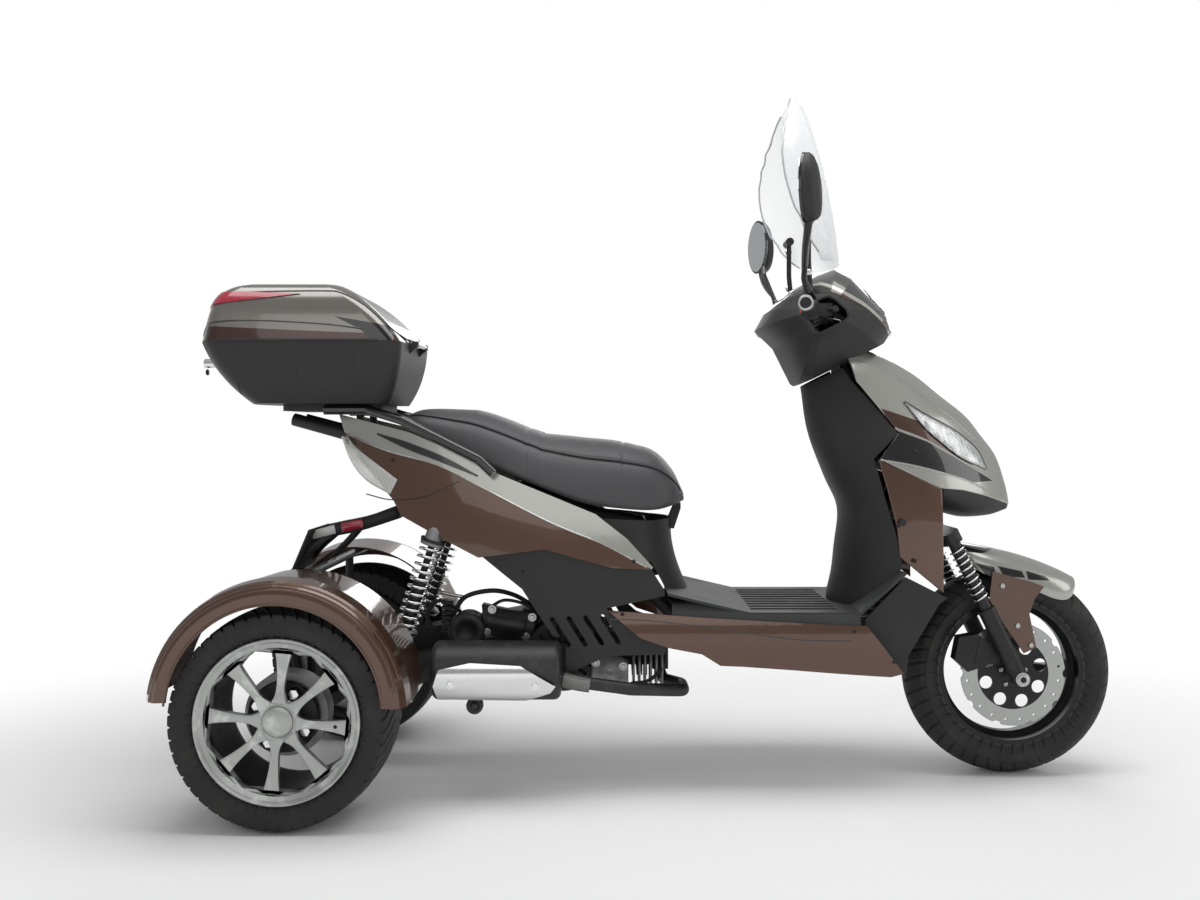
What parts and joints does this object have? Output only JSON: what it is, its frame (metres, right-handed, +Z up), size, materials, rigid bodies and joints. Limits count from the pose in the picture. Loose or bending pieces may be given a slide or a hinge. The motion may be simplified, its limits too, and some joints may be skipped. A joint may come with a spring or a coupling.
{
  "type": "trike scooter",
  "caption": "Step-through motor scooter with one steered front wheel, two wide rear wheels under fenders, a stepped seat, a top case and a clear windscreen",
  "frame": {"origin": "on the ground, midway along the overall length and on the middle plane", "axes": "+X forward, +Y to the rider's left, +Z up"},
  "size_m": [2.155, 0.9, 1.598],
  "materials": {
    "alloy": "machined",
    "alloy_black": "black painted alloy",
    "body_brown": "metallic painted plastic",
    "body_silver": "silver metallic painted plastic",
    "cast_grey": "cast",
    "chrome": "polished",
    "frame_black": "satin black paint",
    "gloss_black": "gloss black plastic",
    "lens_clear": "clear",
    "lens_red": "red lens",
    "lid_grey": "dark metallic plastic",
    "mirror": "silvered",
    "paint_brown": "metallic gloss paint",
    "rubber": "moulded",
    "screen": "clear",
    "steel": "brushed",
    "trim_black": "grained black plastic",
    "tyre": "rubber",
    "vinyl": "grained vinyl"
  },
  "bodies": {
    "chassis": {"apron": "body_silver", "apron_lamps": "lens_clear", "apron_sides": "body_brown", "box_lock": "chrome", "box_tub": "trim_black", "bucket": "trim_black", "engine": "cast_grey", "exhaust_pipe": "steel", "fan_cover": "trim_black", "fenders": "paint_brown", "floorboard": "trim_black", "frame": "frame_black", "grab_rails": "trim_black", "leg_shield": "trim_black", "lower_cowl": "trim_black", "muffler": "frame_black", "muffler_guard": "chrome", "rack": "trim_black", "rear_axle": "frame_black", "rear_shocks": "frame_black", "seat_front_cover": "trim_black", "side_covers": "trim_black", "side_panels": "body_brown", "side_skirts": "body_brown", "side_strips": "body_silver"},
    "front_wheel": {"front_rim": "alloy_black", "front_tyre": "tyre", "front_disc": "steel"},
    "rear_wheel_right": {"rear_rim_right": "alloy", "rear_tyre_right": "tyre", "rear_hub_right": "cast_grey"},
    "rear_wheel_left": {"rear_rim_left": "alloy", "rear_tyre_left": "tyre", "rear_hub_left": "cast_grey"},
    "steering": {"fork": "alloy_black", "handlebar": "frame_black", "grips": "rubber", "levers": "alloy_black", "bar_cover_lower": "trim_black", "bar_cover_upper": "body_brown", "headlamp": "lens_clear", "mirrors": "gloss_black", "mirror_glass": "mirror", "windscreen": "screen", "screen_stays": "frame_black", "front_fender": "body_silver", "fender_sides": "body_brown", "caliper": "alloy_black"},
    "seat": {"seat": "vinyl", "seat_hinge": "steel"},
    "box_lid": {"box_lid": "lid_grey", "box_reflector": "lens_red"}
  },
  "joints": [
    {"name": "steering", "type": "hinge", "parent": "chassis", "child": "steering", "pos_m": [0.58379, 0, 0.7], "axis": [-0.4384, 0, 0.8988], "range_deg": [-36, 36]},
    {"name": "front_wheel", "type": "hinge", "parent": "steering", "child": "front_wheel", "pos_m": [0.8345, 0, 0.243], "axis": [0, 1, 0], "continuous": true},
    {"name": "rear_wheel_right", "type": "hinge", "parent": "chassis", "child": "rear_wheel_right", "pos_m": [-0.7755, -0.333, 0.226], "axis": [0, 1, 0], "continuous": true},
    {"name": "rear_wheel_left", "type": "hinge", "parent": "chassis", "child": "rear_wheel_left", "pos_m": [-0.7755, 0.333, 0.226], "axis": [0, 1, 0], "continuous": true},
    {"name": "seat_hinge", "type": "hinge", "parent": "chassis", "child": "seat", "pos_m": [0.052, 0, 0.634], "axis": [0, 1, 0], "range_deg": [0, 60]},
    {"name": "case_lid", "type": "hinge", "parent": "chassis", "child": "box_lid", "pos_m": [-0.562, 0, 1.014], "axis": [0, 1, 0], "range_deg": [0, 80]}
  ]
}
